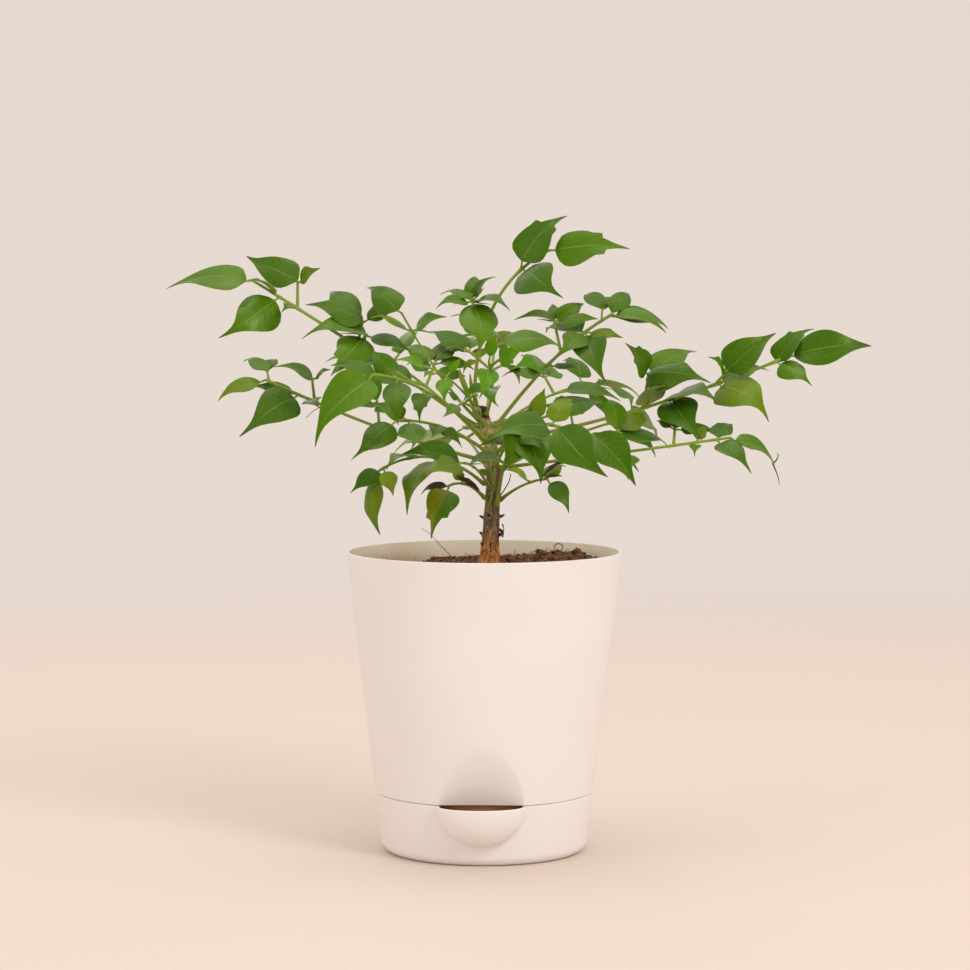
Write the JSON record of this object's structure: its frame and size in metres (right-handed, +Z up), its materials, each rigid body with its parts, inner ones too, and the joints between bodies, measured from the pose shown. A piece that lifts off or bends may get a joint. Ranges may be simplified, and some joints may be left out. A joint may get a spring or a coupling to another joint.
{
  "type": "potted china doll plant",
  "caption": "Young china doll plant with a leaning pruned trunk and branched compound leaves, in a tapered round plastic pot on a matching water tray with a filling scoop.",
  "frame": {"origin": "middle of the tray's flat underside", "axes": "+Z up along the pot's axis, -Y towards the filling scoop at the front, +X to the right seen from the front"},
  "size_m": [0.3048, 0.2004, 0.2759],
  "materials": {
    "pot_plastic": "warm white, satin",
    "potting_mix": "dark brown moist coco mix, rough",
    "bark": "orange brown to grey brown young bark",
    "green_stalk": "yellow green leaf stalk",
    "leaf_green": "deep green leaf, glossy"
  },
  "bodies": {
    "root": {"tray": "pot_plastic", "pot": "pot_plastic", "soil": "potting_mix", "trunk": "bark", "bough_left_high": "green_stalk", "bough_left_centre": "green_stalk", "bough_top": "green_stalk", "bough_right_high": "green_stalk", "bough_right_long": "green_stalk", "bough_right_low": "green_stalk", "bough_front_right": "green_stalk", "bough_back_right": "green_stalk", "bough_back_right_low": "green_stalk", "bough_low_right": "green_stalk", "bough_low_left": "green_stalk", "bough_left_low": "green_stalk", "bough_left_long": "green_stalk", "bough_front_left": "green_stalk", "bough_front_mid_left": "green_stalk", "bough_front_centre": "green_stalk", "bough_front_high": "green_stalk", "bough_front_top": "green_stalk", "bough_mid_right": "green_stalk", "bough_young_left": "green_stalk", "bough_young_centre": "green_stalk", "bough_back_left": "green_stalk", "bough_back_centre": "green_stalk", "bough_back_low": "green_stalk", "foliage_left_high": "leaf_green", "foliage_left_centre": "leaf_green", "foliage_top": "leaf_green", "foliage_right_high": "leaf_green", "foliage_right_long": "leaf_green", "foliage_right_low": "leaf_green", "foliage_front_right": "leaf_green", "foliage_back_right": "leaf_green", "foliage_back_right_low": "leaf_green", "foliage_low_right": "leaf_green", "foliage_low_left": "leaf_green", "foliage_left_low": "leaf_green", "foliage_left_long": "leaf_green", "foliage_front_left": "leaf_green", "foliage_front_mid_left": "leaf_green", "foliage_front_centre": "leaf_green", "foliage_front_high": "leaf_green", "foliage_front_top": "leaf_green", "foliage_mid_right": "leaf_green", "foliage_young_left": "leaf_green", "foliage_young_centre": "leaf_green", "foliage_back_left": "leaf_green", "foliage_back_centre": "leaf_green", "foliage_back_low": "leaf_green"}
  },
  "joints": []
}
